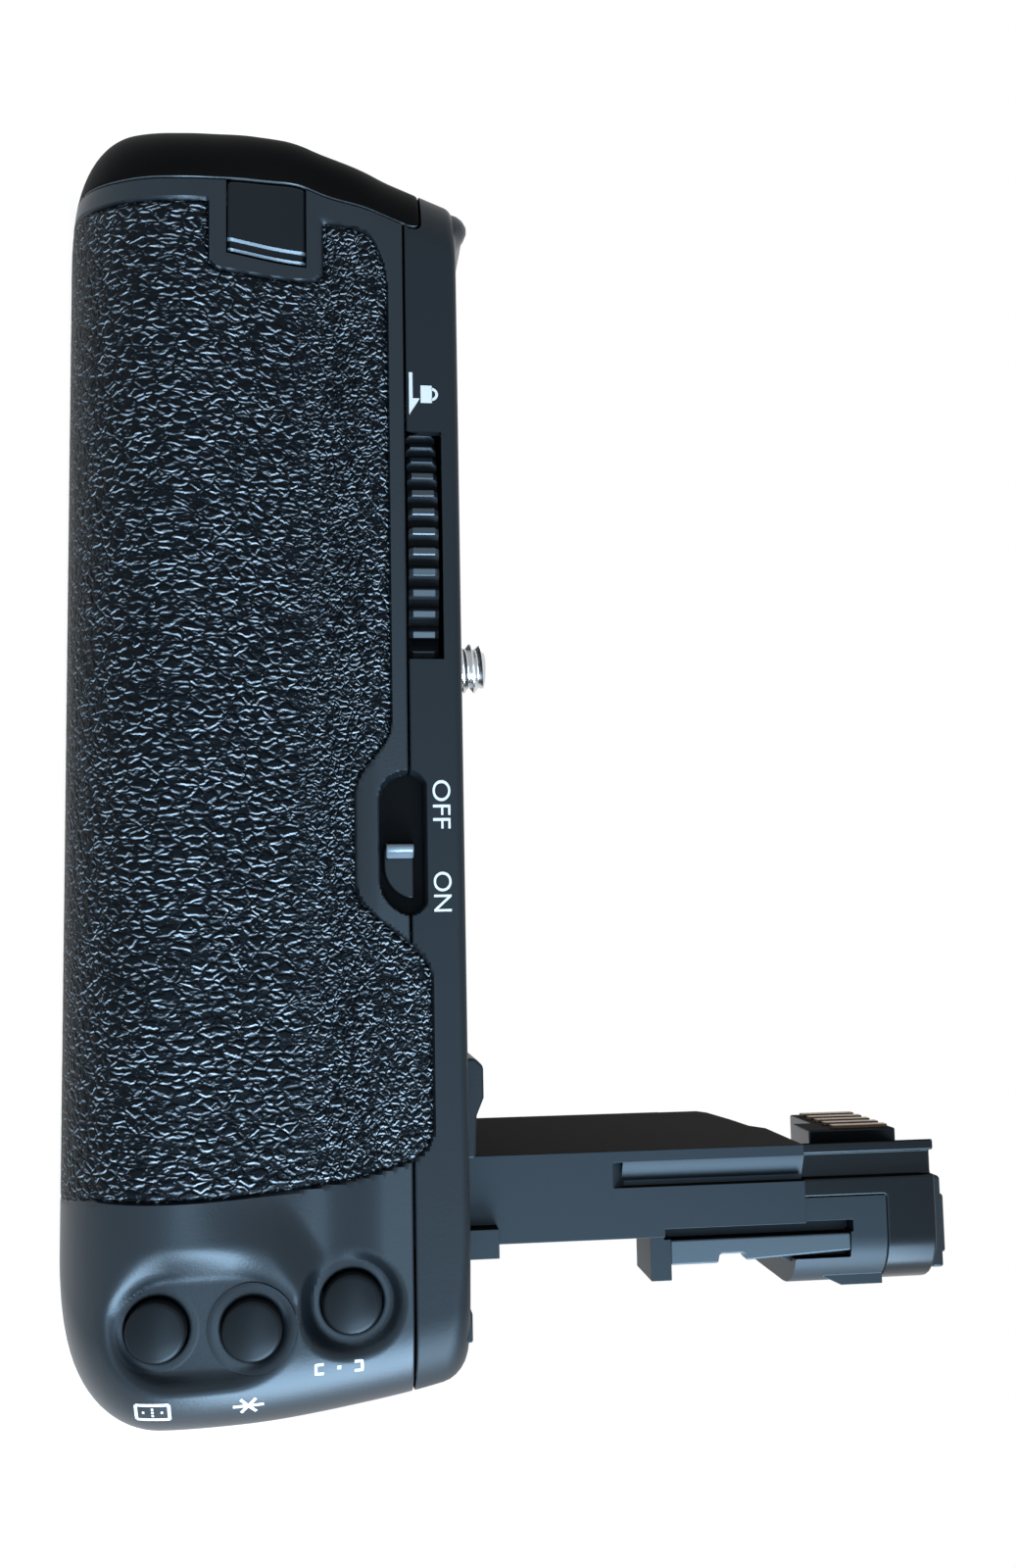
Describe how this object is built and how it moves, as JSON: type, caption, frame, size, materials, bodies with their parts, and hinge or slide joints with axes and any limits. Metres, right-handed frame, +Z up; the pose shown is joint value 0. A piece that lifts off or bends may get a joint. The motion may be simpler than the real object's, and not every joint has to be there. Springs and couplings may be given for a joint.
{
  "type": "camera battery grip",
  "caption": "Camera battery grip with a palm swell, a lock wheel geared to a threaded stud, a sliding battery magazine and an upright arm for the camera's battery chamber.",
  "frame": {"origin": "on the axis of the tripod thread and of the clamp stud, at the base", "axes": "+X along the grip to the button end, +Y from the rear wall to the front, +Z up to the camera"},
  "size_m": [0.1457, 0.075, 0.102],
  "materials": {
    "casing": "finely textured black moulding",
    "platform": "finely textured black moulding",
    "leatherette": "pebbled leather-grain rubber sheet",
    "control_plastic": "satin black moulding",
    "button_plastic": "smooth satin black",
    "arm_plastic": "blue-grey spark-eroded moulding",
    "nose_plastic": "polished black moulding",
    "pack_plastic": "plain moulding",
    "mat_rubber": "plain rubber",
    "board": "solder-masked board",
    "ribbon": "flexible printed ribbon",
    "steel": "turned steel",
    "dark_steel": "blackened steel",
    "base_metal": "black painted plate",
    "contact_metal": "plated contact"
  },
  "bodies": {
    "grip_body": {"main_housing": "casing", "front_housing": "casing", "top_cover": "platform", "rear_grip_cover": "leatherette", "front_grip_cover": "leatherette", "housing_screws": "dark_steel", "base_plate": "base_metal", "base_screws": "dark_steel", "tripod_bush": "steel", "main_board": "board", "wheel_guide": "casing", "guide_screws": "steel", "thrust_plate": "steel", "switch_body": "arm_plastic", "button_mat": "mat_rubber", "button_board": "board", "shutter_collar": "control_plastic", "shutter_switch": "arm_plastic", "dial_axle": "steel", "contact_block": "arm_plastic", "contact_blades": "contact_metal", "arm_frame": "arm_plastic", "arm_cover": "arm_plastic", "arm_rail": "arm_plastic", "arm_nose": "nose_plastic", "arm_terminal": "nose_plastic", "arm_contacts": "contact_metal", "arm_ribbon": "ribbon"},
    "wheel": {"lock_wheel": "control_plastic"},
    "stud": {"clamp_screw": "steel", "drive_pinion": "steel", "screw_circlip": "dark_steel"},
    "power_switch": {"switch_knob": "control_plastic", "switch_slider": "control_plastic"},
    "frame_key": {"frame_button": "button_plastic"},
    "star_key": {"star_button": "button_plastic"},
    "focus_key": {"focus_button": "button_plastic"},
    "shutter_key": {"shutter_button": "button_plastic"},
    "dial": {"control_dial": "mat_rubber"},
    "magazine": {"magazine_tray": "casing", "magazine_cap": "casing", "battery_packs": "pack_plastic", "tray_contacts": "contact_metal", "latch_pin": "steel"},
    "latch": {"latch_lever": "casing"}
  },
  "joints": [
    {"name": "wheel_turn", "type": "hinge", "parent": "grip_body", "child": "wheel", "pos_m": [-0.008, -0.006, 0.04], "axis": [0, 0, 1], "continuous": true},
    {"name": "stud_turn", "type": "hinge", "parent": "grip_body", "child": "stud", "pos_m": [0, 0, 0.04], "axis": [0, 0, 1], "continuous": true},
    {"name": "switch_slide", "type": "slide", "parent": "grip_body", "child": "power_switch", "axis": [1, 0, 0], "range_m": [-0.006, 0]},
    {"name": "frame_press", "type": "slide", "parent": "grip_body", "child": "frame_key", "axis": [0, 1, 0], "range_m": [0, 0.0008], "stiffness_N_per_m": 1500},
    {"name": "star_press", "type": "slide", "parent": "grip_body", "child": "star_key", "axis": [0, 1, 0], "range_m": [0, 0.0008], "stiffness_N_per_m": 1500},
    {"name": "focus_press", "type": "slide", "parent": "grip_body", "child": "focus_key", "axis": [0, 1, 0], "range_m": [0, 0.0008], "stiffness_N_per_m": 1500},
    {"name": "shutter_press", "type": "slide", "parent": "grip_body", "child": "shutter_key", "axis": [-1, 0, 0], "range_m": [0, 0.001], "stiffness_N_per_m": 1500},
    {"name": "dial_turn", "type": "hinge", "parent": "grip_body", "child": "dial", "pos_m": [0.0783, -0.001, 0.017], "axis": [0, 1, 0], "continuous": true},
    {"name": "magazine_slide", "type": "slide", "parent": "grip_body", "child": "magazine", "axis": [-1, 0, 0], "range_m": [0, 0.118]},
    {"name": "latch_flip", "type": "hinge", "parent": "magazine", "child": "latch", "pos_m": [-0.0478, -0.02854, 0.02218], "axis": [0, -0.3792, -0.9253], "range_deg": [0, 50], "stiffness_Nm_per_rad": 0.02}
  ],
  "couplings": [
    {"joint": "stud_turn", "follows": "wheel_turn", "ratio": 2.25}
  ]
}
